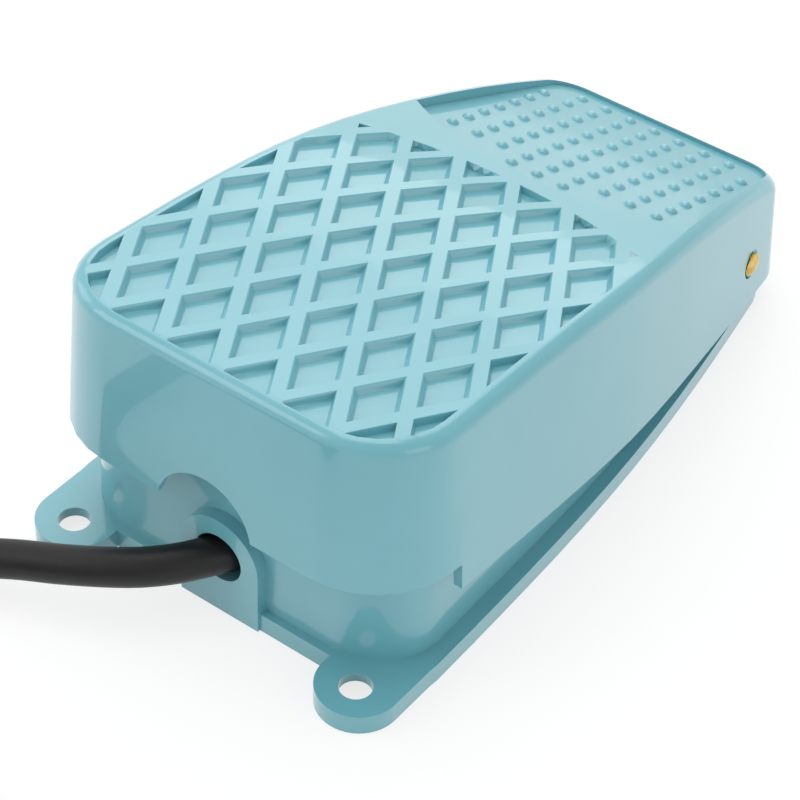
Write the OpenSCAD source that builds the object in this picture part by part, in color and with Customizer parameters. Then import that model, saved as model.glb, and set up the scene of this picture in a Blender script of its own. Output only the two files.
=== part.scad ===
// Industrial foot switch: a die-cast pedal hinged over a die-cast base tray that holds a snap-action
// switch. +Y runs from the toe, where the cable leaves, to the hinged heel. +X is to the right of
// someone who stands at the toe and looks towards the heel. +Z is up, and the underside is at z = 0.

/* [Pedal] */
// Length of the pedal's top face
pedal_l = 178.3; // [176:0.1:184]
// Width of the pedal's top face at the toe
pedal_toe_w = 96.4; // [94:0.1:99]
// Width of the pedal's top face at the heel, before its corners are rounded
pedal_heel_w = 67.4; // [66:0.1:70]
// Height of the toe's top edge above the floor
toe_h = 70; // [68:0.5:73]
// Slope of the flat front half of the pedal, down towards the heel, in degrees
tread_slope = 5; // [4.5:0.1:5.5]
// Length of the flat front half
flat_l = 44.3; // [38:0.1:50]
// Radius of the arched rear half
top_arch_r = 417; // [400:1:440]
// Draft of the skirt, in degrees
skirt_draft = 3.8; // [3.4:0.1:4.2]
// Wall thickness of the skirt
pedal_wall = 2.2; // [1.8:0.1:2.6]
// Thickness of the pedal's top
pedal_roof = 3; // [2.6:0.1:3.4]
// Radius of the rounded edge between top and skirt
edge_r = 3; // [2:0.1:3.5]
// Radius of the toe corners
toe_corner_r = 20; // [16:0.5:22]
// Radius of the heel corners
heel_corner_r = 12; // [9:0.5:14]
// Height of the side skirt's lower edge just behind the toe
skirt_toe_z = 24.5; // [23:0.5:26]
// Height of the skirt's lower edge at the heel
skirt_heel_z = 5.4; // [5.3:0.1:7]
// Height of the front skirt's lower edge
front_skirt_z = 31.3; // [29:0.1:33]
// Length of the raised front skirt
front_skirt_l = 20.3; // [16:0.1:24]
// Radius of the arched cut-out over the cable
skirt_arch_r = 12.8; // [12:0.1:14]
// Height of that arch's centre
skirt_arch_z = 28.9; // [28:0.1:30]

/* [Tread] */
// Half the width of one diamond
diamond_x = 7.5; // [7.5:0.1:8]
// Half the length of one diamond
diamond_y = 13.2; // [13.2:0.1:14]
// Width of the ribs between the diamonds
rib_w = 3; // [2.4:0.1:3.4]
// Depth of the diamond pockets
tread_d = 1.8; // [1:0.1:2]
// Distance from the pedal's toe edge to the front of the tread
tread_front = 2.4; // [2:0.1:4]
// Length of the tread along the centre line
tread_l = 103.4; // [98:0.1:104]
// Margin between the tread and the side of the pedal
tread_margin = 3.6; // [3.1:0.1:5]

/* [Heel recess] */
// Distance from the tread to the recess on the centre line
land_l = 4.8; // [4:0.1:8]
// Depth of the recess at its front edge
recess_d = 1.6; // [1.2:0.1:1.8]
// Slope of the recess floor, in degrees
recess_slope = 18.5; // [18.2:0.1:18.8]
// Margin between the recess and the edge of the pedal
recess_margin = 3.1; // [3.1:0.1:4.5]
// Spacing of the studs across the pedal
stud_x = 7.2; // [6.8:0.1:7.4]
// Spacing of the studs along the pedal
stud_y = 6.6; // [6.2:0.1:6.8]
// Radius of a stud
stud_r = 1.6; // [1.2:0.1:2]
// Height of a stud
stud_h = 1; // [0.6:0.1:1.2]

/* [Base] */
// Width of the flange at the toe, before its sides blend into the taper
flange_toe_w = 101.8; // [100:0.1:103]
// Width of the flange at the heel, before its corners are rounded
flange_heel_w = 69.8; // [68:0.1:72]
// Height of the flange
flange_h = 5; // [4.6:0.1:5.2]
// Thickness of the floor of the base
floor_t = 2.5; // [2:0.1:3]
// Width of the rim round the hollow underside
rim_w = 2.5; // [2:0.1:3]
// Wall thickness of the tray
tray_wall = 2.5; // [2.2:0.1:2.8]
// Gap between the pedal's top outline and the foot of the tray wall
tray_inset = 2.4; // [2.2:0.1:2.8]
// Height of the tray wall at the toe
tray_toe_h = 38; // [36:0.5:40]
// Height of the tray wall at the heel
tray_heel_h = 26; // [26:0.5:27]
// Draft of the tray wall, in degrees
tray_draft = 1.5; // [1:0.1:2]

/* [Mounting ears] */
// Distance between the two mounting holes
ear_spacing = 79; // [77:0.5:80]
// Radius of the mounting holes
ear_hole_r = 3.7; // [3:0.1:4]
// Radius of the ears
ear_r = 9.6; // [9:0.1:10]
// Distance from the front of an ear to the centre of its hole
ear_hole_in = 8.5; // [8:0.1:9]
// Distance from the pedal's toe edge to the front of the ears
ear_reach = 9.2; // [8.6:0.1:10]

/* [Cable entry] */
// Radius of the cable hole
entry_r = 6.2; // [5.8:0.1:6.6]
// Height of the cable hole's axis
entry_z = 16; // [15.5:0.1:16.5]
// Wall of the boss round the cable hole
boss_wall = 4.6; // [4:0.1:5]
// Distance that the boss stands out from the tray wall
boss_out = 2.7; // [2:0.1:3]

/* [Hinge] */
// Distance from the pedal's heel edge to the hinge pin
hinge_back = 22; // [21.5:0.1:23]
// Height of the hinge pin
hinge_z = 19.5; // [19:0.1:20]
// Radius of the hinge pin
pin_r = 3; // [2.8:0.1:3.2]
// Running clearance of the pin in the pedal, on the radius
pin_play = 0.06; // [0.03:0.01:0.09]
// Clearance of the pin in the base, on the radius
pin_seat = 0.02; // [0.01:0.01:0.05]
// Radius of the bosses round the pin
hinge_boss_r = 6; // [5.6:0.1:6.4]
// Length of the bosses round the pin, inside the tray
hinge_boss_l = 3.5; // [3:0.1:4.5]
// Distance that the pin's domed ends stand out of the skirt
pin_proud = 1.3; // [1:0.1:1.6]
// Thickness of the retaining rings
ring_t = 0.8; // [0.6:0.1:1]

/* [Return spring] */
// Distance from the pedal's toe edge to the spring
spring_back = 61; // [58:0.5:63]
// Mean radius of the spring
spring_r = 7.2; // [6.8:0.1:7.4]
// Wire diameter of the spring
spring_wire = 1.6; // [1.2:0.1:1.8]
// Number of turns
spring_turns = 9; // [7:1:11]
// Length of the spring when the pedal is up
spring_l = 44; // [42:0.5:46]

/* [Switch] */
// Length of the switch case
case_l = 49.2; // [48:0.1:50]
// Width of the switch, cover included
case_w = 17.5; // [17:0.1:18]
// Thickness of the switch cover
cover_t = 1.2; // [1:0.1:1.5]
// Height of the case above the base floor
case_lift = 3; // [2.5:0.1:3.5]
// Distance from the hinge pin to the plunger
plunger_reach = 32; // [31:0.5:33]
// Distance from the plunger to the middle of the case
plunger_offset = 2; // [0:0.5:3]
// Radius of the plunger
plunger_r = 2.3; // [2:0.1:2.6]
// Height of the plunger above the case
plunger_h = 3.6; // [3.3:0.1:4]
// Distance between the two screws through the case
case_screw_span = 25.4; // [25:0.1:26]
// Thickness of the bracket plate
bracket_t = 1.5; // [1.2:0.1:1.8]
// Radius of the adjusting screw
adjuster_r = 2.5; // [2:0.1:2.5]
// Gap between the adjusting screw and the plunger
adjuster_gap = 0.3; // [0.2:0.05:0.4]
// Height of the boss under the pedal's top that holds the adjusting screw
adjuster_boss_h = 3.7; // [3:0.1:5]

/* [Cable] */
// Diameter of the cable sheath
cable_d = 8.8; // [8.6:0.1:9]
// Mean radius of the stored coil
coil_r = 44; // [43:0.5:48]
// Turns across the coil
coil_across = 2; // [2:1:2]
// Layers of the coil
coil_layers = 2; // [2:1:2]
// Thickness of the tie round the coil
tie_t = 0.8; // [0.6:0.1:1]

/* [Hidden] */
$fn = 48;
eps = 0.01;
far = 400;

paint = "#7fb9c0";
brass = "#d9c37a";
steel = "#b9bcc0";
bakelite = "#2b2622";
rubber = "#1d1e20";

// Finish of two lines that meet: the smaller of a and b, rounded over about w
function smooth_min(a, b, w) = (a + b - sqrt((a - b) * (a - b) + w * w)) / 2;

// Profile of the pedal's top, from the distance u behind the toe edge
arch_start_z = toe_h - flat_l * tan(tread_slope);
arch_u = flat_l - top_arch_r * sin(tread_slope);
arch_z = arch_start_z - top_arch_r * cos(tread_slope);
function profile(u) = u < flat_l ? toe_h - u * tan(tread_slope)
    : arch_z + sqrt(top_arch_r * top_arch_r - (u - arch_u) * (u - arch_u));

// Plan distance behind the toe edge of a point that lies s along the curved top
flat_s = flat_l / cos(tread_slope);
function plan_of(s) = s < flat_s ? s * cos(tread_slope)
    : arch_u + top_arch_r * sin(tread_slope + (s - flat_s) / top_arch_r * 180 / PI);

// The whole switch, from its ears to its flared heel, is centred on y = 0
heel_flare = tan(skirt_draft) * (profile(pedal_l) - skirt_heel_z);
overall_l = ear_reach + pedal_l + heel_flare;
toe_y = ear_reach - overall_l / 2;
heel_y = toe_y + pedal_l;
front_skirt_y = toe_y + front_skirt_l;
function top_z(y) = profile(y - toe_y);
function skirt_z(y) = skirt_toe_z + (skirt_heel_z - skirt_toe_z) * (y - front_skirt_y)
    / (heel_y + heel_flare - front_skirt_y);

// Half widths of the plan outlines at a place along the switch
toe_taper = 0.9;
heel_taper = 8.4;
flange_taper = 11.3;
pedal_blend = 2.6;
flange_blend = 10.8;
pedal_half = function (y) smooth_min(pedal_toe_w / 2 - (y - toe_y) * tan(toe_taper),
    pedal_heel_w / 2 + (heel_y - y) * tan(heel_taper), pedal_blend);
flange_half = function (y) smooth_min(flange_toe_w / 2,
    flange_heel_w / 2 + (heel_y - y) * tan(flange_taper), flange_blend);
tray_half = function (y) pedal_half(y) - tray_inset;
tread_half = function (y) pedal_half(y) - tread_margin;

// Right half of a plan outline as [x, y, direction of its normal], from the toe to the heel.
// half gives the half width at y, front and back are the ends, toe_r and back_r the corners.
arc_steps = 7;
side_steps = 13;
function lean(half, y) = atan(half(y - 0.5) - half(y + 0.5));
function arc_points(c, r, a0, a1) = [for (i = [0 : arc_steps])
    let (a = a0 + (a1 - a0) * i / arc_steps) [c.x + r * cos(a), c.y + r * sin(a), a]];
function outline(half, front, back, toe_r, back_r) = let (
    lean0 = lean(half, front + toe_r),
    lean1 = lean(half, back - back_r),
    y0 = front + toe_r * (1 + sin(lean0)),
    y1 = back - back_r * (1 - sin(lean1)))
    concat(arc_points([half(y0) - toe_r * cos(lean0), front + toe_r], toe_r, -90, lean0),
        [for (i = [1 : side_steps - 1]) let (y = y0 + (y1 - y0) * i / side_steps)
            [half(y), y, lean(half, y)]],
        arc_points([half(y1) - back_r * cos(lean1), back - back_r], back_r, lean1, 90));
pedal_outline = outline(pedal_half, toe_y, heel_y, toe_corner_r, heel_corner_r);

// Closed plan outline, moved out by e
function out(p, e) = [p.x + e * cos(p[2]), p.y + e * sin(p[2])];
function closed(half, e = 0) = let (pts = [for (p = half) out(p, e)])
    concat(pts, [for (i = [len(pts) - 1 : -1 : 0]) [-pts[i].x, pts[i].y]]);

// Ring of a loft on the pedal's outline: wall_ring at the height z(y), crown_ring at dz under the top
function wall_ring(e, z) = [for (p = pedal_outline)
    let (q = out(p, e + tan(skirt_draft) * (top_z(p.y) - z(p.y)))) [q.x, q.y, z(p.y)]];
function crown_ring(e, dz) = [for (p = pedal_outline)
    let (q = out(p, e + tan(skirt_draft) * dz)) [q.x, q.y, top_z(q.y) - dz]];

// Solid skinned over rings, each given as its right half
module loft(halves) {
    h = len(halves[0]);
    n = 2 * h;
    last = (len(halves) - 1) * n;
    polyhedron(
        points = [for (half = halves) for (i = [0 : n - 1])
            i < h ? half[i] : [-half[n - 1 - i].x, half[n - 1 - i].y, half[n - 1 - i].z]],
        faces = concat(
            [for (i = [0 : h - 2]) [i, i + 1, n - 2 - i, n - 1 - i]],
            [for (k = [0 : len(halves) - 2]) for (i = [0 : n - 1]) let (j = (i + 1) % n)
                [k * n + i, (k + 1) * n + i, (k + 1) * n + j, k * n + j]],
            [for (i = [0 : h - 2]) [last + n - 1 - i, last + n - 2 - i, last + i + 1, last + i]]));
}

// Tube swept along a list of points
function unit(v) = v / norm(v);
function heading(path, i) = let (n = len(path) - 1) unit(path[min(i + 1, n)] - path[max(i - 1, 0)]);
function tube_ring(path, i, r, sides) = let (
    t = heading(path, i),
    side = unit(cross(t, abs(t.z) > 0.9 ? [0, 1, 0] : [0, 0, 1])),
    up = cross(side, t))
    [for (k = [0 : sides - 1]) let (a = 360 * (k + 0.5) / sides)
        path[i] + r * (cos(a) * side + sin(a) * up)];
module tube(path, r, sides) {
    n = len(path);
    polyhedron(
        points = [for (i = [0 : n - 1]) for (p = tube_ring(path, i, r, sides)) p],
        faces = concat([[for (k = [0 : sides - 1]) k]],
            [for (i = [0 : n - 2]) for (k = [0 : sides - 1]) let (j = (k + 1) % sides)
                [i * sides + k, (i + 1) * sides + k, (i + 1) * sides + j, i * sides + j]],
            [[for (k = [sides - 1 : -1 : 0]) (n - 1) * sides + k]]));
}

// Smooth curve through a route's points, with steps rings between each two
function route_point(route, i) = route[max(0, min(i, len(route) - 1))];
function bend(route, i, t) = let (
    a = route_point(route, i - 1), b = route_point(route, i),
    c = route_point(route, i + 1), d = route_point(route, i + 2))
    (2 * b + (c - a) * t + (2 * a - 5 * b + 4 * c - d) * t * t + (3 * b - a - 3 * c + d) * t * t * t) / 2;
function curve(route, steps) = concat(
    [for (i = [0 : len(route) - 2]) for (k = [0 : steps - 1]) bend(route, i, k / steps)],
    [route[len(route) - 1]]);

// Places worked out from the driving sizes
ear_y = toe_y - ear_reach + ear_hole_in;
ear_mid_y = toe_y - ear_reach + ear_r;
ear_x = ear_spacing / 2;
flange_front = toe_y + 2.7;
flange_back = heel_y - 2.5;
flange_corner_r = 12;
boss_face = toe_y + 2;
boss_r = entry_r + boss_wall;
tray_front = boss_face + boss_out;
tray_back = heel_y - 5.5;
tray_corner_r = 16;
tray_heel_r = 8;
hinge_y = heel_y - hinge_back;
spring_y = toe_y + spring_back;
plunger_y = hinge_y - plunger_reach;
case_y = plunger_y - plunger_offset;
case_z = flange_h + case_lift;
tread_back = toe_y + tread_front + tread_l;
recess_front = tread_back + land_l;
recess_front_z = top_z(recess_front) - recess_d;
recess_roof = 2.8;
function recess_z(y) = recess_front_z - (y - recess_front) * tan(recess_slope);
function roof_z(y) = min(top_z(y) - pedal_roof, recess_z(y) - recess_roof);

// The adjusting screw, its nut and the switch case fill the height under the pedal's top
adjuster_head_h = 2.6;
adjuster_free = 0.8;
lock_nut_h = 2.7;
adjuster_boss_z = roof_z(plunger_y) - adjuster_boss_h;
nut_z = adjuster_boss_z - lock_nut_h;
tip_z = nut_z - adjuster_free - adjuster_head_h;
plunger_top = tip_z - adjuster_gap;
case_top = plunger_top - plunger_h;
case_h = case_top - case_z;
outer_x = pedal_half(hinge_y) + tan(skirt_draft) * (top_z(hinge_y) - hinge_z);
tray_x = tray_half(hinge_y) - tan(tray_draft) * (hinge_z - flange_h);
lug_x = tray_x - tray_wall - hinge_boss_l;
pin_half = outer_x + pin_proud;

// Block across the switch from x0 to x1, with its side view given as [y, z] points
module across(points, x0 = -far / 2, x1 = far / 2) {
    translate([x0, 0, 0]) rotate([90, 0, 90]) linear_extrude(x1 - x0) polygon(points);
}
module box(x0, x1, y0, y1, z0, z1) {
    translate([x0, y0, z0]) cube([x1 - x0, y1 - y0, z1 - z0]);
}
module rod_x(x0, x1, y, z, r) {
    translate([x0, y, z]) rotate([0, 90, 0]) cylinder(r = r, h = x1 - x0);
}
module rod_y(y0, y1, x, z, r) {
    translate([x, y0, z]) rotate([-90, 0, 0]) cylinder(r = r, h = y1 - y0);
}
module rod_z(z0, z1, x, y, r) {
    translate([x, y, z0]) cylinder(r = r, h = z1 - z0);
}
module both_sides() {
    children();
    mirror([1, 0, 0]) children();
}
module turned(points) {
    rotate_extrude() polygon(points);
}

// Screw whose head stands on z = 0 with its shank below, and a hexagon nut standing on z = 0
function dome(r, z0, h) = let (ball = (r * r + h * h) / (2 * h))
    [for (i = [0 : 6]) let (x = r * (1 - i / 6)) [x, z0 + h - ball + sqrt(ball * ball - x * x)]];
module pan_screw(r, l, head_r, head_h) {
    turned(concat([[0, -l], [r, -l], [r, 0], [head_r, 0]], dome(head_r, head_h * 0.45, head_h * 0.55)));
}
module hex_nut(r, across_flats, h) {
    difference() {
        cylinder(r = across_flats / 2 / cos(30), h = h, $fn = 6);
        translate([0, 0, -1]) cylinder(r = r, h = h + 2);
    }
}

// Everything above the pedal's top surface lowered by d
module above_top(d) {
    difference() {
        across([[toe_y - far, -far], [toe_y - far, far], [heel_y + far, far], [heel_y + far, -far]]);
        across([[toe_y - far, -far * 2], [toe_y + flat_l, -far * 2], [toe_y + flat_l, arch_start_z - d],
            [toe_y - far, arch_start_z - d + (far + flat_l) * tan(tread_slope)]]);
        translate([-far / 2, toe_y + arch_u, arch_z]) rotate([0, 90, 0])
            cylinder(r = top_arch_r - d, h = far, $fn = 180);
    }
}

// Everything above the floor of the heel recess
module above_recess() {
    across([[recess_front - far, recess_z(recess_front - far)], [heel_y + far, recess_z(heel_y + far)],
        [heel_y + far, far * 2], [recess_front - far, far * 2]]);
}

/* Pedal */

tread_corner_r = 17;
tread_back_r = 120;
module tread_region() {
    intersection() {
        polygon(closed(outline(tread_half, toe_y + tread_front, heel_y, tread_corner_r, heel_corner_r)));
        translate([0, tread_back - tread_back_r]) circle(tread_back_r, $fn = 120);
    }
}

// Pocket between four ribs, in the column i and the row j of the lattice
tread_s0 = (tread_l / 2 - 9.4) / cos(tread_slope);
pocket_scale = 1 - rib_w / 2 * norm([diamond_x, diamond_y]) / (diamond_x * diamond_y);
module diamond(i, j) {
    s = tread_s0 + j * diamond_y;
    w = diamond_x * pocket_scale;
    l = diamond_y * pocket_scale;
    polygon([[i * diamond_x + w, toe_y + plan_of(s)], [i * diamond_x, toe_y + plan_of(s + l)],
        [i * diamond_x - w, toe_y + plan_of(s)], [i * diamond_x, toe_y + plan_of(s - l)]]);
}
columns = ceil(pedal_toe_w / 2 / diamond_x);
rows = ceil(tread_l / 2 / diamond_y) + 1;
module tread_pockets() {
    intersection() {
        linear_extrude(far) intersection() {
            tread_region();
            union() for (i = [-columns : columns], j = [-rows : rows]) if ((i + j) % 2 == 0) diamond(i, j);
        }
        above_top(tread_d);
    }
}

recess_arc_r = 72;
recess_corner_r = 7;
module heel_recess() {
    recess_half = function (y) pedal_half(y) - recess_margin;
    intersection() {
        linear_extrude(far) intersection() {
            polygon(closed(outline(recess_half, toe_y, heel_y - recess_margin, toe_corner_r,
                recess_corner_r)));
            translate([0, recess_front + recess_arc_r]) circle(recess_arc_r, $fn = 120);
        }
        above_recess();
    }
}

// Domed studs on the recess floor: fewer rows in the outer columns, where the recess is shorter
stud_first = recess_front + 6;
stud_ball_r = (stud_r * stud_r + stud_h * stud_h) / (2 * stud_h);
stud_rows = 8;
module studs() {
    for (i = [-4 : 4], j = [0 : stud_rows]) {
        y = stud_first + j * stud_y;
        if (j >= (abs(i) > 1 ? 1 : 0) && j < (abs(i) > 3 ? stud_rows : stud_rows + 1))
            translate([i * stud_x, y, recess_z(y) + stud_h - stud_ball_r]) sphere(stud_ball_r, $fn = 20);
    }
}

fillet_steps = 4;
module pedal_skin() {
    loft(concat([wall_ring(0, function (y) skirt_z(y))],
        [for (k = [0 : fillet_steps]) let (a = 90 * k / fillet_steps)
            crown_ring(-edge_r * (1 - cos(a)) - tan(skirt_draft) * edge_r * sin(a), edge_r * (1 - sin(a)))]));
}
module pedal_hollow() {
    loft([wall_ring(-pedal_wall, function (y) skirt_z(y) - edge_r),
        [for (p = pedal_outline) let (dz = top_z(p.y) - roof_z(p.y),
            q = out(p, tan(skirt_draft) * dz - pedal_wall)) [q.x, q.y, roof_z(q.y)]]]);
}

// Seat for the return spring and boss for the adjusting screw, under the pedal's top
post_r = spring_r - spring_wire / 2 - 1.2;
post_l = 8;
spring_top = flange_h + spring_l;
seat_gap = 0.3;
adjuster_boss_r = 6;
hex_af = 8;
adjuster_end = roof_z(plunger_y) + 0.8;
module pedal_post(y, z, r) {
    rod_z(z, roof_z(y) + 1, 0, y, r);
}
hinge_play = 0.4;
pedal_boss_x = tray_x + hinge_boss_r * tan(heel_taper) + hinge_play;
counterbore_r = pin_r + 0.7;
counterbore_d = 0.8;
module pedal() {
    color(paint) difference() {
        union() {
            difference() {
                pedal_skin();
                pedal_hollow();
            }
            pedal_post(spring_y, spring_top + seat_gap, spring_r + spring_wire);
            pedal_post(spring_y, spring_top - post_l, post_r);
            pedal_post(plunger_y, adjuster_boss_z, adjuster_boss_r);
            both_sides() rod_x(pedal_boss_x, outer_x - pedal_wall / 2, hinge_y, hinge_z, hinge_boss_r);
        }
        tread_pockets();
        difference() {
            heel_recess();
            studs();
        }
        across([[toe_y - far, -far], [front_skirt_y, -far], [front_skirt_y, front_skirt_z],
            [toe_y - far, front_skirt_z]]);
        rod_y(toe_y - far, toe_y + 2 * pedal_wall, 0, skirt_arch_z, skirt_arch_r);
        rod_x(-far, far, hinge_y, hinge_z, pin_r + pin_play);
        both_sides() rod_x(outer_x - counterbore_d, far, hinge_y, hinge_z, counterbore_r);
        rod_z(nut_z, adjuster_end, 0, plunger_y, adjuster_r);
    }
}

/* Base */

cavity_z = flange_h - floor_t;
flange_outline = outline(flange_half, flange_front, flange_back, flange_corner_r, flange_corner_r);
tray_outline = outline(tray_half, tray_front, tray_back, tray_corner_r, tray_heel_r);
function tray_ring(e, z) = [for (p = tray_outline) let (q = out(p, e - tan(tray_draft) * (z - flange_h)))
    [q.x, q.y, z]];
module ear_plan(r) {
    both_sides() translate([ear_x, ear_mid_y]) {
        circle(r);
        translate([-r, 0]) square([2 * r, 3 * ear_r]);
    }
}
module tray_walls() {
    difference() {
        loft([tray_ring(0, flange_h - floor_t / 2), tray_ring(0, tray_toe_h + 4)]);
        loft([tray_ring(-tray_wall, flange_h), tray_ring(-tray_wall, tray_toe_h + 5)]);
        across([[tray_front, tray_toe_h], [tray_back, tray_heel_h], [tray_back + far, tray_heel_h],
            [tray_back + far, far], [tray_front - far, far], [tray_front - far, tray_toe_h]]);
    }
}
module entry_boss() {
    rod_y(boss_face, tray_front + tray_wall, 0, entry_z, boss_r);
    box(-boss_r, boss_r, boss_face, tray_front + tray_wall, 0, entry_z);
}

// Fixings on the tray's floor: cable clamp, switch bracket and earth screw
screw_r = 2;
screw_head_r = 3.6;
screw_head_h = 2.2;
screw_l = 6;
boss_wall_t = 2.5;
fixing_r = screw_r + boss_wall_t;
pad_z = 0.3;
cable_r = cable_d / 2;
clamp_span = 10;
clamp_l = 8;
clamp_t = 1.5;
clamp_boss_z = flange_h + 3;
switch_half = case_w / 2;
case_face = switch_half - cover_t;
bracket_x = -switch_half - bracket_t;
bracket_foot = 14;
bracket_l = 40;
bracket_span = 28;
bracket_above = 7;
bracket_screw_x = bracket_x - bracket_foot / 2;
earth_x = 29;
earth_back = 57.2;
earth_y = toe_y + earth_back;
earth_boss_z = flange_h + 1.5;
spring_cup_h = 5;
cup_play = 0.4;
cup_wall = 2;
cup_r = spring_r + spring_wire / 2 + cup_play;

// Route of the cable, from its cut end in the tray out to the coil, and of its tail beyond the coil
cable_route = [[6, -49, 11], [6, -55, 11], [5.9, -61, 11.3], [5, -67, 12.3], [3.2, -73, 14],
    [1.2, -78, 15.1], [-1.4, -83.5, 15.8], [-5.5, -89.5, 15.6], [-11.5, -95, 14.8], [-19, -99.3, 13.5],
    [-28, -103.3, 11.8], [-35.5, -106, 10.3], [-41.7, -108.6, 9], [-50, -112.8, 7.6], [-57, -119.3, 6.4],
    [-62, -127.2, 5.7], [-64.9, -136, 5.3], [-65.4, -145, 5.2], [-65.4, -157, 5.2], [-65.4, -170, 5.2],
    [-65.4, -184.5, 5.2]];
coil_at = [-17, -214];
tail_route = [[-33.6, -259.5, 22.8], [-21.2, -261.8, 22.8], [-8.9, -259.9, 22.8], [2.1, -255, 22.8],
    [14.1, -245.1, 22.8], [22.9, -232.6, 22.8], [26.3, -221.6, 22.8]];
clamp_at = cable_route[1];
clamp_screw_at = [for (side = [-1, 1]) [clamp_at.x + side * clamp_span, clamp_at.y]];
bracket_screw_at = [for (side = [-1, 1]) [bracket_screw_x, case_y + side * bracket_span / 2]];
clamp_saddle_half = clamp_span - fixing_r / 2;

module base() {
    color(paint) difference() {
        union() {
            difference() {
                linear_extrude(flange_h) union() {
                    polygon(closed(flange_outline));
                    ear_plan(ear_r);
                }
                translate([0, 0, -1]) linear_extrude(cavity_z + 1) union() {
                    polygon(closed(flange_outline, -rim_w));
                    ear_plan(ear_r - rim_w);
                }
            }
            tray_walls();
            entry_boss();
            rod_z(cavity_z, flange_h + spring_cup_h, 0, spring_y, cup_r + cup_wall);
            for (p = clamp_screw_at) rod_z(pad_z, clamp_boss_z, p.x, p.y, fixing_r);
            box(clamp_at.x - clamp_saddle_half, clamp_at.x + clamp_saddle_half,
                clamp_at.y - clamp_l / 2, clamp_at.y + clamp_l / 2, cavity_z, clamp_boss_z);
            for (p = bracket_screw_at) rod_z(pad_z, flange_h, p.x, p.y, fixing_r);
            rod_z(pad_z, earth_boss_z, earth_x, earth_y, fixing_r);
            both_sides() rod_x(lug_x, tray_x - tray_wall / 2, hinge_y, hinge_z, hinge_boss_r);
        }
        rod_z(flange_h, far, 0, spring_y, cup_r);
        rod_y(boss_face - far, tray_front + tray_wall + 1, 0, entry_z, entry_r);
        rod_y(clamp_at.y - clamp_l, clamp_at.y + clamp_l, clamp_at.x, clamp_at.z, cable_r);
        both_sides() rod_z(-1, flange_h + 1, ear_x, ear_y, ear_hole_r);
        for (p = clamp_screw_at) rod_z(clamp_boss_z - screw_l + clamp_t, far, p.x, p.y, screw_r);
        for (p = bracket_screw_at) rod_z(flange_h + bracket_t - screw_l, far, p.x, p.y, screw_r);
        rod_z(earth_boss_z + earth_t - screw_l, far, earth_x, earth_y, screw_r);
        rod_x(-far, far, hinge_y, hinge_z, pin_r + pin_seat);
    }
}

/* Hinge, spring and adjuster */

pin_dome = 0.8;
module hinge_pin() {
    ends = dome(pin_r, pin_half - pin_dome, pin_dome);
    color(brass) translate([0, hinge_y, hinge_z]) rotate([0, 90, 0])
        turned(concat(ends, [for (i = [len(ends) - 1 : -1 : 0]) [ends[i][0], -ends[i][1]]]));
}
ring_w = 2;
module retaining_rings() {
    color(steel) both_sides() difference() {
        rod_x(lug_x - ring_t, lug_x, hinge_y, hinge_z, pin_r + ring_w);
        rod_x(0, far, hinge_y, hinge_z, pin_r);
    }
}

// The end turns lie nearly flat, and the turns between them share the rest of the length
flat_pitch = spring_wire * 1.05;
open_pitch = (spring_l - spring_wire - 2 * flat_pitch) / (spring_turns - 2);
function coil_z(t) = spring_wire / 2 + (t < 1 ? flat_pitch * t
    : t < spring_turns - 1 ? flat_pitch + open_pitch * (t - 1)
    : flat_pitch * (t - spring_turns + 2) + open_pitch * (spring_turns - 2));
turn_steps = 16;
module return_spring() {
    color(steel) translate([0, spring_y, flange_h]) tube([for (i = [0 : spring_turns * turn_steps])
        let (a = 360 * i / turn_steps) [spring_r * cos(a), spring_r * sin(a), coil_z(i / turn_steps)]],
        spring_wire / 2, 8);
}
tip_ball_r = 15;
module adjusting_screw() {
    color(steel) translate([0, plunger_y, tip_z]) {
        intersection() {
            cylinder(r = hex_af / 2 / cos(30), h = adjuster_head_h, $fn = 6);
            translate([0, 0, tip_ball_r]) sphere(tip_ball_r);
        }
        rod_z(adjuster_head_h, adjuster_end - tip_z, 0, 0, adjuster_r);
    }
}
module lock_nut() {
    color(steel) translate([0, plunger_y, nut_z]) hex_nut(adjuster_r, hex_af, lock_nut_h);
}

/* Switch */

notch_l = 9;
notch_h = 10;
term_z = case_top - notch_h;
term_t = 1;
term_w = 5.2;
term_apart = 3.7;
term_out = 1.2;
term_screw_r = 1.5;
term_screw_l = 5;
term_screw_in = 4.5;
case_x = (case_face - switch_half) / 2;
chamber_wall = 2;
chamber_half = case_l / 2 - notch_l - chamber_wall;
chamber_z = case_z + case_h * 0.45;
chamber_top = case_top - 3;
collar_h = 0.5;
collar_r = plunger_r + 2;
plunger_play = 0.05;
case_screw_r = 2;
case_screw_in = 5;
case_screw_z = case_z + case_screw_in;
hole_play = 0.1;
term_end = case_l / 2 + term_out;
term_in = chamber_half - 1.5;
case_screw_at = [for (side = [-1, 1]) case_y + side * case_screw_span / 2];
term_at = [[case_x, 1], [case_x + term_apart, -1], [case_x - term_apart, -1]];
term_screw_at = [for (t = term_at) [t[0], case_y + t[1] * (case_l / 2 - term_screw_in)]];

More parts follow.
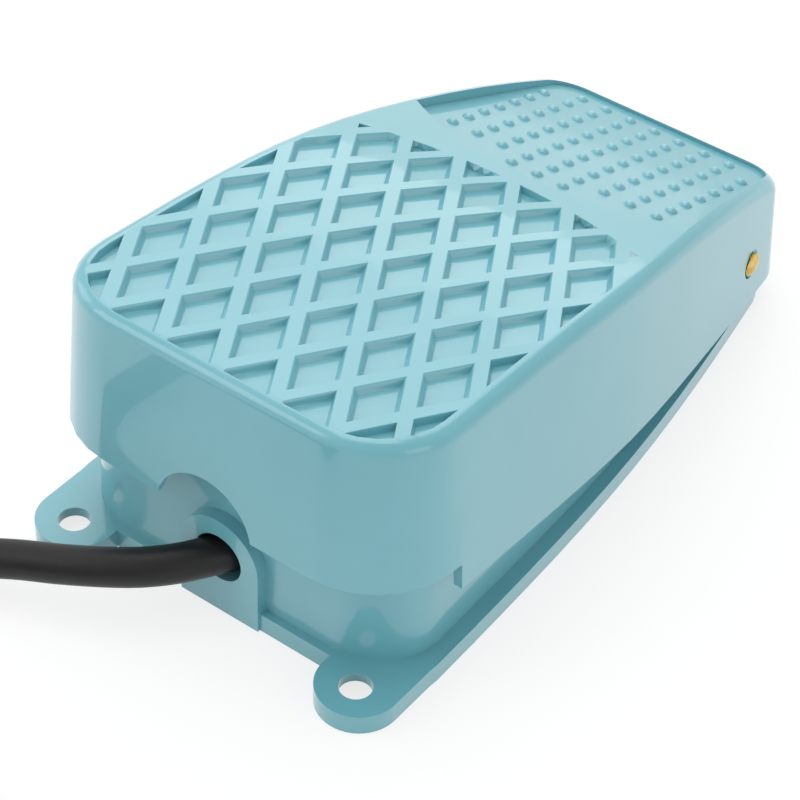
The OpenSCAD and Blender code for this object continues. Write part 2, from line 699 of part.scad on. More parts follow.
module terminal_bar(i) {
    x = term_at[i][0];
    translate([x, case_y, term_z]) mirror([0, term_at[i][1] < 0 ? 1 : 0, 0])
        box(-term_w / 2, term_w / 2, term_in, term_end, 0, term_t);
}
module terminal(i) {
    color(brass) difference() {
        terminal_bar(i);
        rod_z(0, far, term_screw_at[i].x, term_screw_at[i].y, term_screw_r);
    }
}
module switch_case() {
    a = case_l / 2;
    b = a - notch_l;
    color(bakelite) difference() {
        union() {
            across([[case_y - a, case_z], [case_y + a, case_z], [case_y + a, term_z], [case_y + b, term_z],
                [case_y + b, case_top], [case_y - b, case_top], [case_y - b, term_z], [case_y - a, term_z]],
                -switch_half, case_face);
            rod_z(case_top - 1, case_top + collar_h, case_x, plunger_y, collar_r);
        }
        box(-switch_half + chamber_wall, far, case_y - chamber_half, case_y + chamber_half,
            chamber_z, chamber_top);
        rod_z(chamber_z, far, case_x, plunger_y, plunger_r + plunger_play);
        for (y = case_screw_at) rod_x(-far, far, y, case_screw_z, case_screw_r + hole_play);
        for (i = [0 : 2]) terminal_bar(i);
        for (p = term_screw_at) rod_z(term_z + term_t - term_screw_l, far, p.x, p.y, term_screw_r);
    }
}
module switch_cover() {
    a = case_l / 2;
    b = a - notch_l;
    color(bakelite) difference() {
        across([[case_y - a, case_z], [case_y + a, case_z], [case_y + a, term_z], [case_y + b, term_z],
            [case_y + b, case_top], [case_y - b, case_top], [case_y - b, term_z], [case_y - a, term_z]],
            case_face, switch_half);
        for (y = case_screw_at) rod_x(-far, far, y, case_screw_z, case_screw_r + hole_play);
    }
}
plunger_flange_h = 1.5;
plunger_edge = 0.4;
module switch_plunger() {
    z1 = plunger_top - case_z;
    z0 = chamber_top - seat_gap - case_z;
    color("firebrick") translate([case_x, plunger_y, case_z])
        turned([[0, z0 - plunger_flange_h], [collar_r, z0 - plunger_flange_h], [collar_r, z0],
            [plunger_r, z0], [plunger_r, z1 - plunger_edge], [plunger_r - plunger_edge, z1], [0, z1]]);
}
module terminal_screws() {
    color(brass) for (p = term_screw_at) translate([p.x, p.y, term_z + term_t])
        pan_screw(term_screw_r, term_screw_l, term_screw_r + 1.1, 1.8);
}
module switch_bracket() {
    y0 = case_y - bracket_l / 2;
    y1 = case_y + bracket_l / 2;
    color(steel) difference() {
        union() {
            box(bracket_x, -switch_half, y0, y1, flange_h, case_screw_z + bracket_above);
            box(bracket_x - bracket_foot, bracket_x + eps, y0, y1, flange_h, flange_h + bracket_t);
        }
        for (y = case_screw_at) rod_x(-far, far, y, case_screw_z, case_screw_r + hole_play);
        for (p = bracket_screw_at) rod_z(0, far, p.x, p.y, screw_r + hole_play);
    }
}
case_nut_af = 7;
case_nut_h = 3.2;
module switch_screws() {
    color(steel) for (y = case_screw_at) translate([switch_half, y, case_screw_z]) rotate([0, 90, 0])
        pan_screw(case_screw_r, switch_half - bracket_x + case_nut_h + 1, screw_head_r, screw_head_h);
}
module switch_nuts() {
    color(steel) for (y = case_screw_at) translate([bracket_x - case_nut_h, y, case_screw_z])
        rotate([0, 90, 0]) hex_nut(case_screw_r, case_nut_af, case_nut_h);
}
module bracket_screws() {
    color(steel) for (p = bracket_screw_at) translate([p.x, p.y, flange_h + bracket_t])
        pan_screw(screw_r, screw_l, screw_head_r, screw_head_h);
}

/* Cable, clamp and wires */

module cable_clamp() {
    y0 = clamp_at.y - clamp_l / 2;
    y1 = clamp_at.y + clamp_l / 2;
    color(steel) difference() {
        union() {
            rod_y(y0, y1, clamp_at.x, clamp_at.z, cable_r + clamp_t);
            box(clamp_at.x - clamp_span - fixing_r, clamp_at.x + clamp_span + fixing_r, y0, y1,
                clamp_boss_z, clamp_boss_z + clamp_t);
        }
        box(-far, far, y0 - 1, y1 + 1, -far, clamp_boss_z);
        rod_y(y0 - 1, y1 + 1, clamp_at.x, clamp_at.z, cable_r);
        for (p = clamp_screw_at) rod_z(0, far, p.x, p.y, screw_r + hole_play);
    }
}
module clamp_screws() {
    color(steel) for (p = clamp_screw_at) translate([p.x, p.y, clamp_boss_z + clamp_t])
        pan_screw(screw_r, screw_l, screw_head_r, screw_head_h);
}
cable_sides = 12;
module cable() {
    color(rubber) tube(curve(cable_route, 2), cable_r, cable_sides);
}
module cable_tail() {
    color(rubber) tube(curve(tail_route, 2), cable_r, cable_sides);
}

// Section of the coil, a square block of turns with rounded corners, moved out by e
module coil_section(e) {
    w = coil_across * cable_r;
    h = coil_layers * cable_r;
    translate([coil_r, tie_t + h]) {
        for (x = [-1, 1], z = [-1, 1]) translate([x * (w - cable_r), z * (h - cable_r)]) circle(cable_r + e);
        square([2 * (w - cable_r), 2 * (h + e)], center = true);
        square([2 * (w + e), 2 * (h - cable_r)], center = true);
    }
}
module cable_coil() {
    color(rubber) translate(coil_at) rotate_extrude() coil_section(0);
}
tie_angle = 6;
tie_turn = 174;
module coil_tie() {
    color(rubber) translate(coil_at) rotate([0, 0, tie_turn]) rotate_extrude(angle = tie_angle) difference() {
        coil_section(tie_t);
        coil_section(0);
    }
}

// The three cores inside the sheath, as offsets from its axis
core_r = 1.2;
core_out = 1.9;
core_at = [for (a = [30, 150, 270]) core_out * [cos(a), sin(a)]];
strip_l = 12;
bare_l = 7;
bare_r = 0.8;
tail_end = tail_route[len(tail_route) - 1];
tail_dir = unit(tail_end - tail_route[len(tail_route) - 2]);
module cable_end() {
    color("tan") translate(tail_end) rotate([0, 0, atan2(tail_dir.y, tail_dir.x)])
        rotate([0, 90 - asin(tail_dir.z), 0]) for (c = core_at) translate([c[0], c[1], 0]) {
            cylinder(r = core_r, h = strip_l);
            cylinder(r = bare_r, h = strip_l + bare_l);
        }
}

// Each wire starts on the face of the cable's cut end and ends on its terminal
cut_end = cable_route[0];
function core_start(i, y = 0) = [cut_end.x - core_at[i][0], cut_end.y + y, cut_end.z + core_at[i][1]];
wire_sides = 8;
wire_steps = 2;
wire_x = switch_half + 6;
floor_z = flange_h + core_r + 1;
term_wire_z = term_z + term_t + core_r + 0.1;
term_wire_in = case_l / 2 - 1.7;
module wire(route, shade) {
    color(shade) tube(curve(route, wire_steps), core_r, wire_sides);
}
module wire_live() {
    wire([core_start(1), core_start(1, 4), [wire_x, cut_end.y + 14, floor_z + 3],
        [wire_x + 2, spring_y, floor_z],
        [wire_x, case_y - 20, floor_z], [wire_x, case_y + 12, floor_z + 1],
        [wire_x - 3, case_y + case_l / 2 + 1, floor_z + 6],
        [wire_x - 9, case_y + case_l / 2 + 3.4, term_z],
        [case_x + 1.5, case_y + case_l / 2 + 2.5, term_wire_z + 0.4],
        [case_x, case_y + term_wire_in, term_wire_z]], "saddlebrown");
}
module wire_load() {
    wire([core_start(0), core_start(0, 4), [6, cut_end.y + 11, floor_z + 6],
        [11.5, spring_y - 5, floor_z + 6.5],
        [11.5, spring_y + 8, floor_z + 8], [8, case_y - case_l / 2 - 14, term_z - 4],
        [term_screw_at[1].x + 1, case_y - case_l / 2 - 5, term_wire_z],
        [term_screw_at[1].x, case_y - term_wire_in, term_wire_z]], "royalblue");
}
earth_t = 0.8;
barrel_r = 1.9;
barrel_l = 7;
ring_eye_r = 4;
barrel_z = earth_boss_z + barrel_r;
module wire_earth() {
    y = earth_y - ring_eye_r - barrel_l;
    wire([core_start(2), core_start(2, 3), [cut_end.x + 4, cut_end.y + 6.5, cut_end.z - 2.4],
        [earth_x - 11, cut_end.y + 5, barrel_z + 0.6], [earth_x - 3, y - 4, barrel_z],
        [earth_x, y - 2, barrel_z], [earth_x, y, barrel_z]], "yellowgreen");
}
module earth_ring() {
    color(brass) difference() {
        union() {
            rod_z(earth_boss_z, earth_boss_z + earth_t, earth_x, earth_y, ring_eye_r);
            box(earth_x - 1.5, earth_x + 1.5, earth_y - ring_eye_r - 1, earth_y - 2,
                earth_boss_z, earth_boss_z + earth_t);
            rod_y(earth_y - ring_eye_r - barrel_l, earth_y - ring_eye_r, earth_x, barrel_z, barrel_r);
        }
        rod_z(0, far, earth_x, earth_y, screw_r);
    }
}
module earth_screw() {
    color(brass) translate([earth_x, earth_y, earth_boss_z + earth_t])
        pan_screw(screw_r, screw_l, screw_head_r, screw_head_h);
}

base();
pedal();
hinge_pin();
retaining_rings();
return_spring();
adjusting_screw();
lock_nut();
switch_case();
switch_cover();
switch_plunger();
terminal(0);  // terminal_common
terminal(1);  // terminal_no
terminal(2);  // terminal_nc
terminal_screws();
switch_bracket();
switch_screws();
switch_nuts();
bracket_screws();
cable_clamp();
clamp_screws();
cable();
cable_coil();
coil_tie();
cable_tail();
cable_end();
wire_live();
wire_load();
wire_earth();
earth_ring();
earth_screw();
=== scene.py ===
from math import cos, pi, radians, sin

import bmesh
import bpy
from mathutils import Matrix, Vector


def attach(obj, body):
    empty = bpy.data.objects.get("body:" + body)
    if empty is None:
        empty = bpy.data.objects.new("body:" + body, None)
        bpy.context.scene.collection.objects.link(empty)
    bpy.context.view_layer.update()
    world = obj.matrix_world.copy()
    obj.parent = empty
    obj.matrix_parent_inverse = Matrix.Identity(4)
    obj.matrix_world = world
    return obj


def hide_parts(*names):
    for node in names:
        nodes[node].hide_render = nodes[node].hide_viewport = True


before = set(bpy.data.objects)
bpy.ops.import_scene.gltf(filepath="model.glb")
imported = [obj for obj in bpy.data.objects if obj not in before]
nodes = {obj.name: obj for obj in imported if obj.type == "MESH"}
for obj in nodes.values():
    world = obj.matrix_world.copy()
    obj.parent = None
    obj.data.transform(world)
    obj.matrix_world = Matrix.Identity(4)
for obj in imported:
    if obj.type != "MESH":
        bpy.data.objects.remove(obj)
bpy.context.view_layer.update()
bpy.ops.object.select_all(action="DESELECT")


# ---------------------------------------------------------------- Camera
# A long lens looks down on the toe and the right-hand side of the switch, tilted by about two
# degrees, so that the cable leaves the view on the left.
camera_data = bpy.data.cameras.new("camera")
camera_data.sensor_width = 36
camera_data.lens = 119.1
camera_data.clip_end = 20
camera = bpy.data.objects.new("camera", camera_data)
camera.location = (0.2606, -0.38548, 0.4188)
camera.rotation_euler = (radians(48.141), radians(-1.879), radians(37.112))
bpy.context.scene.collection.objects.link(camera)
bpy.context.scene.camera = camera


# ---------------------------------------------------------------- Cable
# A round black three-core lead in a soft PVC sheath, 8.8 mm thick. It leaves the hole in the boss,
# sinks to the floor, and its spare length is wound into a coil, two turns wide and two high.
CABLE_R = 4.4
CABLE_ROUTE = [
    (6, -49, 11), (6, -55, 11), (5.9, -61, 11.3), (5, -67, 12.3), (3.2, -73, 14), (1.2, -78, 15.1),
    (-1.4, -83.5, 15.8), (-5.5, -89.5, 15.6), (-11.5, -95, 14.8), (-19, -99.3, 13.5),
    (-28, -103.3, 11.8), (-35.5, -106, 10.3), (-41.7, -108.6, 9), (-50, -112.8, 7.6),
    (-57, -119.3, 6.4), (-62, -127.2, 5.7), (-64.9, -136, 5.3), (-65.4, -145, 5.2), (-65.4, -157, 5.2),
    (-65.4, -170, 5.2), (-65.4, -184.5, 5.2),
]
LEAD_IN = [(-65.4, -194.5, 5.2), (-65.4, -204.5, 5.2)]
TAIL_ROUTE = [
    (-33.6, -259.5, 22.8), (-21.2, -261.8, 22.8), (-8.9, -259.9, 22.8), (2.1, -255, 22.8),
    (14.1, -245.1, 22.8), (22.9, -232.6, 22.8), (26.3, -221.6, 22.8),
]
COIL_AT = (-17, -214)
COIL_R = 44
TIE_T = 0.8


def linear(hex_colour):
    """An sRGB hex colour as the linear RGBA that a shader takes."""
    channels = [int(hex_colour[i : i + 2], 16) / 255 for i in (1, 3, 5)]
    return [c / 12.92 if c <= 0.04045 else ((c + 0.055) / 1.055) ** 2.4 for c in channels] + [1]


def add_node(tree, kind, settings=None, links=None):
    """Adds a shader node; settings are properties or input values, links are inputs to join."""
    node = tree.nodes.new(kind)
    for name, value in (settings or {}).items():
        if isinstance(name, str) and hasattr(node, name):
            setattr(node, name, value)
        else:
            node.inputs[name].default_value = value
    for name, source in (links or {}).items():
        tree.links.new(source, node.inputs[name])
    return node


def start_material(name):
    """A material with only its Principled shader, and the object's own coordinates."""
    material = bpy.data.materials.new(name)
    material.use_nodes = True
    tree = material.node_tree
    place = add_node(tree, "ShaderNodeTexCoord").outputs["Object"]
    return material, tree, tree.nodes["Principled BSDF"], place


def smooth_curve(route, steps):
    """Points on a smooth curve through the route's points, in metres."""
    points = []
    for i in range(len(route) - 1):
        a, b, c, d = (Vector(route[max(0, min(k, len(route) - 1))]) for k in (i - 1, i, i + 1, i + 2))
        for k in range(steps):
            t = k / steps
            points.append((2 * b + (c - a) * t + (2 * a - 5 * b + 4 * c - d) * t * t
                           + (3 * b - a - 3 * c + d) * t**3) / 2000)
    return points + [Vector(route[-1]) / 1000]


def ease(value, start, end):
    """0 before start, 1 after end, and a smooth step between them."""
    t = min(1, max(0, (value - start) / (end - start)))
    return t * t * (3 - 2 * t)


def coil_turns():
    """Just over three turns: outside and low, inside and low, inside and high, outside and high."""
    points = []
    for degree in range(0, 1145, 8):
        out = 1 - ease(degree, 220, 340) + ease(degree, 830, 955)
        up = ease(degree, 530, 655) + ease(degree, 1082, 1150)
        radius = COIL_R + CABLE_R * (2 * out - 1)
        angle = radians(180 + degree)
        points.append(Vector((COIL_AT[0] + radius * cos(angle), COIL_AT[1] + radius * sin(angle),
                              TIE_T + CABLE_R * (1 + 2 * up))) / 1000)
    return points


cable_path = (smooth_curve(CABLE_ROUTE, 3) + [Vector(p) / 1000 for p in LEAD_IN] + coil_turns()
              + smooth_curve(TAIL_ROUTE, 3))
cable_data = bpy.data.curves.new("cable_sheath", "CURVE")
cable_data.dimensions = "3D"
cable_data.bevel_depth = CABLE_R / 1000
cable_data.bevel_resolution = 6
cable_data.use_fill_caps = True
spline = cable_data.splines.new("POLY")
spline.points.add(len(cable_path) - 1)
for point, place in zip(spline.points, cable_path):
    point.co = (*place, 1)
cable = bpy.data.objects.new("cable_sheath", cable_data)
bpy.context.scene.collection.objects.link(cable)

# Soft PVC, extruded: near black with a satin sheen, fine lines along it from the die, and a little dust
sheath, tree, shader, place = start_material("black soft pvc, extruded")
dust = add_node(tree, "ShaderNodeTexNoise", {"Scale": 120, "Detail": 6, "Roughness": 0.65}, {"Vector": place})
shade = add_node(tree, "ShaderNodeValToRGB", {}, {"Fac": dust.outputs["Fac"]})
shade.color_ramp.elements[0].position = 0.42
shade.color_ramp.elements[0].color = linear("#0c0c0e")
shade.color_ramp.elements[1].position = 0.78
shade.color_ramp.elements[1].color = linear("#1b1a1c")
tree.links.new(shade.outputs["Color"], shader.inputs["Base Color"])
rough = add_node(tree, "ShaderNodeMapRange", {"To Min": 0.38, "To Max": 0.55}, {"Value": dust.outputs["Fac"]})
tree.links.new(rough.outputs["Result"], shader.inputs["Roughness"])
grain = add_node(tree, "ShaderNodeTexNoise", {"Scale": 1600, "Detail": 2}, {"Vector": place})
bump = add_node(tree, "ShaderNodeBump", {"Strength": 0.2, "Distance": 0.00005}, {"Height": grain.outputs["Fac"]})
tree.links.new(bump.outputs["Normal"], shader.inputs["Normal"])
shader.inputs["IOR"].default_value = 1.45
cable.data.materials.append(sheath)
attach(cable, "base_body")
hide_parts("cable", "cable_coil", "cable_tail")


# ---------------------------------------------------------------- Cable end
# The sheath is cut back 12 mm at the far end, and the three insulated cores show. Each core is
# stripped again, to 7 mm of bare tinned strands twisted together, ready for a terminal.
CORE_R = 1.2
CORE_OUT = 1.9
STRIP_L = 12
BARE_L = 7
BARE_R = 0.8
tail_tip = Vector(TAIL_ROUTE[-1])
tail_way = (tail_tip - Vector(TAIL_ROUTE[-2])).normalized()


def finish_of(node, material):
    """Gives a carried-over CAD node its own material."""
    nodes[node].data.materials.clear()
    nodes[node].data.materials.append(material)


def apply_place(obj):
    """Puts the object's place and turn into its mesh, so that it sits at the origin."""
    bpy.ops.object.select_all(action="DESELECT")
    obj.select_set(True)
    bpy.context.view_layer.objects.active = obj
    bpy.ops.object.transform_apply(location=True, rotation=True, scale=True)
    obj.select_set(False)


# Core insulation: a harder, glossier PVC in the three colours of a mains lead, with a faint mottle
core_pvc = {}
for shade_name, low, high in (("brown", "#5a3119", "#6d3f22"), ("blue", "#1d4ea0", "#2b62b8"),
                              ("green and yellow", "#3f8a35", "#e0c52a")):
    material, tree, shader, place = start_material(shade_name + " core insulation, glossy pvc")
    mottle = add_node(tree, "ShaderNodeTexNoise", {"Scale": 420, "Detail": 3}, {"Vector": place})
    amount = mottle.outputs["Fac"]
    if shade_name == "green and yellow":
        # The earth core has two broad stripes along it; the wave's bands are about 1.2 mm wide
        amount = add_node(tree, "ShaderNodeTexWave", {"Scale": 420, "Distortion": 0.4, "bands_direction": "Z"},
                          {"Vector": place}).outputs["Fac"]
    tint = add_node(tree, "ShaderNodeValToRGB", {}, {"Fac": amount})
    tint.color_ramp.elements[0].position = 0.44
    tint.color_ramp.elements[0].color = linear(low)
    tint.color_ramp.elements[1].position = 0.56
    tint.color_ramp.elements[1].color = linear(high)
    tree.links.new(tint.outputs["Color"], shader.inputs["Base Color"])
    rough = add_node(tree, "ShaderNodeMapRange", {"To Min": 0.24, "To Max": 0.38}, {"Value": mottle.outputs["Fac"]})
    tree.links.new(rough.outputs["Result"], shader.inputs["Roughness"])
    core_pvc[shade_name] = material

# Tinned copper: a warm silver, duller in patches where fingers have touched it
tinned, tree, shader, place = start_material("tinned copper strands")
touch = add_node(tree, "ShaderNodeTexNoise", {"Scale": 900, "Detail": 4}, {"Vector": place})
tint = add_node(tree, "ShaderNodeValToRGB", {}, {"Fac": touch.outputs["Fac"]})
tint.color_ramp.elements[0].color = linear("#b9ad9a")
tint.color_ramp.elements[1].color = linear("#dcd8d0")
tree.links.new(tint.outputs["Color"], shader.inputs["Base Color"])
rough = add_node(tree, "ShaderNodeMapRange", {"To Min": 0.28, "To Max": 0.46}, {"Value": touch.outputs["Fac"]})
tree.links.new(rough.outputs["Result"], shader.inputs["Roughness"])
shader.inputs["Metallic"].default_value = 1

# One core along +Z: the insulated length, a step down at its cut, and the strands, twisted
bpy.ops.mesh.primitive_cylinder_add(vertices=24, radius=CORE_R / 1000, depth=STRIP_L / 1000,
                                    location=(0, 0, STRIP_L / 2000))
core = bpy.context.object
core.name = "far_core"
core.data.materials.append(core_pvc["brown"])
core.data.materials.append(tinned)
bpy.ops.object.transform_apply(location=True)
bpy.ops.object.mode_set(mode="EDIT")
bpy.ops.mesh.select_all(action="DESELECT")
bpy.ops.object.mode_set(mode="OBJECT")
for face in core.data.polygons:
    face.select = face.normal.z > 0.9
bpy.ops.object.mode_set(mode="EDIT")
bpy.ops.mesh.select_mode(type="FACE")
bpy.ops.mesh.inset(thickness=(CORE_R - BARE_R) / 1000)
core.active_material_index = 1
bpy.ops.object.material_slot_assign()
for step in range(7):
    bpy.ops.mesh.extrude_region_move(TRANSFORM_OT_translate={"value": (0, 0, BARE_L / 7000)})
bpy.ops.mesh.select_all(action="DESELECT")
bpy.ops.object.mode_set(mode="OBJECT")
# Every third pair of corners is drawn in, and each step is turned on, which gives seven strands
for point in core.data.vertices:
    height = point.co.z * 1000 - STRIP_L
    if height > 0.01:
        angle = round((Vector(point.co.xy).angle_signed(Vector((1, 0))) % (2 * pi)) / (pi / 12))
        radius = (BARE_R - (0.16 if angle % 3 == 0 else 0)) / 1000
        turn = angle * pi / 12 + radians(22) * height
        point.co.x, point.co.y = radius * cos(turn), radius * sin(turn)
bpy.ops.object.shade_smooth_by_angle(angle=radians(50))

to_tail = tail_way.to_track_quat("Z", "Y")
cores = [core] + [bpy.data.objects.new("far_core", core.data.copy()) for k in (1, 2)]
for k, (piece, shade_name) in enumerate(zip(cores, ("brown", "blue", "green and yellow"))):
    if k:
        bpy.context.scene.collection.objects.link(piece)
    piece.name = "far_core_" + shade_name.split()[0]
    piece.data.materials[0] = core_pvc[shade_name]
    angle = radians(30 + 120 * k)
    piece.rotation_mode = "QUATERNION"
    piece.rotation_quaternion = to_tail
    piece.location = (tail_tip + to_tail @ Vector((CORE_OUT * cos(angle), CORE_OUT * sin(angle), 0))) / 1000
    apply_place(piece)
    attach(piece, "base_body")
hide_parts("cable_end")


# ---------------------------------------------------------------- Coil tie
# A black nylon strap, 0.8 mm thick, pulled tight round the coil. Its ribs show as fine cross lines.
nylon, tree, shader, place = start_material("black nylon strap, ribbed")
ribs = add_node(tree, "ShaderNodeTexWave", {"Scale": 160, "bands_direction": "Z"}, {"Vector": place})
bump = add_node(tree, "ShaderNodeBump", {"Strength": 0.5, "Distance": 0.0002}, {"Height": ribs.outputs["Fac"]})
tree.links.new(bump.outputs["Normal"], shader.inputs["Normal"])
dust = add_node(tree, "ShaderNodeTexNoise", {"Scale": 300, "Detail": 4}, {"Vector": place})
tint = add_node(tree, "ShaderNodeValToRGB", {}, {"Fac": dust.outputs["Fac"]})
tint.color_ramp.elements[0].color = linear("#121214")
tint.color_ramp.elements[1].color = linear("#26262a")
tree.links.new(tint.outputs["Color"], shader.inputs["Base Color"])
shader.inputs["Roughness"].default_value = 0.38
finish_of("coil_tie", nylon)


# ---------------------------------------------------------------- Castings
# The base and the pedal are die-cast aluminium under a glossy turquoise stoving enamel. The paint
# rounds every edge, and its gloss shows the lamps as bands along the rounded rim.
enamel, tree, shader, place = start_material("turquoise stoving enamel, gloss")
cloud = add_node(tree, "ShaderNodeTexNoise", {"Scale": 22, "Detail": 4, "Roughness": 0.6}, {"Vector": place})
tone = add_node(tree, "ShaderNodeValToRGB", {}, {"Fac": cloud.outputs["Fac"]})
tone.color_ramp.elements[0].position = 0.3
tone.color_ramp.elements[0].color = linear("#68adb8")
tone.color_ramp.elements[1].position = 0.75
tone.color_ramp.elements[1].color = linear("#72b4c0")
tree.links.new(tone.outputs["Color"], shader.inputs["Base Color"])
# Orange peel: waves of about 3 mm, and sparse nibs of dust under the paint, 10 mm apart
peel = add_node(tree, "ShaderNodeTexNoise", {"Scale": 300, "Detail": 2}, {"Vector": place})
nib = add_node(tree, "ShaderNodeTexVoronoi", {"Scale": 100}, {"Vector": place})
spot = add_node(tree, "ShaderNodeMapRange", {"From Min": 0.05, "From Max": 0.0, "To Max": 3.0},
                {"Value": nib.outputs["Distance"]})
height = add_node(tree, "ShaderNodeMath", {"operation": "ADD"}, {0: peel.outputs["Fac"], 1: spot.outputs["Result"]})
bump = add_node(tree, "ShaderNodeBump", {"Strength": 0.06, "Distance": 0.0003}, {"Height": height.outputs["Value"]})
tree.links.new(bump.outputs["Normal"], shader.inputs["Normal"])
rough = add_node(tree, "ShaderNodeMapRange", {"To Min": 0.28, "To Max": 0.38}, {"Value": cloud.outputs["Fac"]})
tree.links.new(rough.outputs["Result"], shader.inputs["Roughness"])
shader.inputs["IOR"].default_value = 1.5
shader.inputs["Coat Weight"].default_value = 0.8
shader.inputs["Coat Roughness"].default_value = 0.05

TREAD_DRAFT = 1.3
TREAD_END_Y = 26
SMALLEST = 13
LEAST_WALL = 0.4
WALL_STEPS = 6


def joined_copy(name, node):
    """A copy of a cast node with its triangles joined into whole faces."""
    obj = bpy.data.objects.new(name, nodes[node].data.copy())
    bpy.context.scene.collection.objects.link(obj)
    bpy.context.view_layer.objects.active = obj
    obj.select_set(True)
    bpy.ops.object.mode_set(mode="EDIT")
    bpy.ops.mesh.select_all(action="SELECT")
    bpy.ops.mesh.remove_doubles(threshold=1e-6)
    bpy.ops.mesh.dissolve_limited(angle_limit=radians(0.05))
    bpy.ops.object.mode_set(mode="OBJECT")
    obj.select_set(False)
    return obj


def enamelled(obj, node, rounding):
    """Rounds the sharp edges as the paint does, and coats the casting."""
    bpy.context.view_layer.objects.active = obj
    obj.select_set(True)
    bpy.ops.object.shade_smooth()
    soften = obj.modifiers.new("soften", "BEVEL")
    soften.width = rounding
    soften.segments = 3
    soften.limit_method = "ANGLE"
    soften.angle_limit = radians(32)
    soften.miter_outer = "MITER_ARC"
    soften.harden_normals = True
    bpy.ops.object.modifier_apply(modifier="soften")
    level = obj.modifiers.new("level", "WEIGHTED_NORMAL")
    level.keep_sharp = True
    level.weight = 50
    bpy.ops.object.modifier_apply(modifier="level")
    obj.select_set(False)
    obj.data.materials.clear()
    obj.data.materials.append(enamel)
    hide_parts(node)


base = joined_copy("base_casting", "base")
enamelled(base, "base", 0.0005)
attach(base, "base_body")


# ---------------------------------------------------------------- Pedal
# The pedal is one die casting, hinged on the pin. The walls of its tread lean out, so that the casting
# leaves its mould, and every rib is rounded over under the paint.
pedal = joined_copy("pedal_casting", "pedal")
mesh = bmesh.new()
mesh.from_mesh(pedal.data)
mesh.faces.ensure_lookup_table()


def is_wall(face):
    """True for a side of a pocket, and False for the hair's breadth of a step across a floor."""
    return abs(face.normal.z) < 0.35 and face.calc_area() > LEAST_WALL * 1e-6


def stands_on(wall, edge):
    """True for a wall that rises from the edge, and False for one that drops from it."""
    return wall.calc_center_median().z > (edge.verts[0].co.z + edge.verts[1].co.z) / 2


floors = set()
for face in mesh.faces:
    sides = [(g, e) for e in face.edges for g in e.link_faces if is_wall(g)]
    centre = face.calc_center_median() * 1000
    if face.normal.z > 0.9 and centre.z > 45 and centre.y < TREAD_END_Y and sides:
        if sum(stands_on(g, e) for g, e in sides) * 2 > len(sides):
            floors.add(face)
moves = {}
stops = set()
pockets = []
while floors:
    pocket = [floors.pop()]
    for face in pocket:
        for other in {g for e in face.edges for g in e.link_faces if not is_wall(g)} - set(pocket):
            floors.discard(other)
            pocket.append(other)
    walls = {g for f in pocket for e in f.edges for g in e.link_faces if is_wall(g)}
    area = sum(f.calc_area() for f in pocket)
    if area < SMALLEST * 1e-6:
        stops |= {*pocket, *walls}
        continue
    rim = sum(e.calc_length() for f in pocket for e in f.edges if any(is_wall(g) for g in e.link_faces))
    lean = min(TREAD_DRAFT / 1000, 0.5 * area / rim)
    low = {v for f in pocket for v in f.verts}
    pockets.append((pocket, walls, low))
    for wall in walls:
        way = wall.normal.xy.normalized()
        for v in wall.verts:
            moves.setdefault(v, []).append((way, lean if v in low else 0))
for v, asked in moves.items():
    (n1, d1), (n2, d2) = max(((a, b) for a in asked for b in asked), key=lambda pair: abs(pair[0][0].cross(pair[1][0])))
    turn = n1.cross(n2)
    if abs(turn) < 0.2:
        shift = n1 * (d1 + d2) / 2
    else:
        shift = Vector(((d1 * n2.y - d2 * n1.y) / turn, (d2 * n1.x - d1 * n2.x) / turn))
    up = next((f.normal.copy() for f in v.link_faces if f.normal.z > 0.7), Vector((0, 0, 1)))
    v.co += Vector((shift.x, shift.y, -(up.x * shift.x + up.y * shift.y) / up.z))
ring = [e for f in stops for e in f.edges if sum(g in stops for g in e.link_faces) == 1]
bmesh.ops.delete(mesh, geom=list(stops), context="FACES_ONLY")
bmesh.ops.edgeloop_fill(mesh, edges=ring)
# Each wall becomes a stack of strips that curve over from the rib and run out into the floor
for pocket, walls, low in pockets:
    if not all(wall.is_valid for wall in walls):
        continue
    chains = []
    for wall in walls:
        ring = list(wall.verts)
        starts = [k for k, v in enumerate(ring) if v not in low and ring[k - 1] in low]
        if len(starts) == 1:
            ring = ring[starts[0]:] + ring[:starts[0]]
            chains.append((wall, [v for v in ring if v not in low], [v for v in ring if v in low]))
    if len(chains) < len(walls):
        continue
    steps = {}
    for wall, top, foot in chains:
        for a, b in ((top[-1], foot[0]), (top[0], foot[-1])):
            if (a, b) not in steps:
                steps[a, b] = []
                for k in range(1, WALL_STEPS):
                    t = k / WALL_STEPS
                    spot = a.co.lerp(b.co, t)
                    spot.z = a.co.z + (b.co.z - a.co.z) * t * t * (3 - 2 * t)
                    steps[a, b].append(mesh.verts.new(spot))
        right, back = steps[top[-1], foot[0]], steps[top[0], foot[-1]]
        mesh.faces.remove(wall)
        mesh.faces.new([*top, right[0], back[0]])
        for k in range(WALL_STEPS - 2):
            mesh.faces.new([back[k], right[k], right[k + 1], back[k + 1]])
        mesh.faces.new([back[-1], right[-1], *foot])
mesh.normal_update()
mesh.to_mesh(pedal.data)
mesh.free()
enamelled(pedal, "pedal", 0.0005)
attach(pedal, "pedal_body")


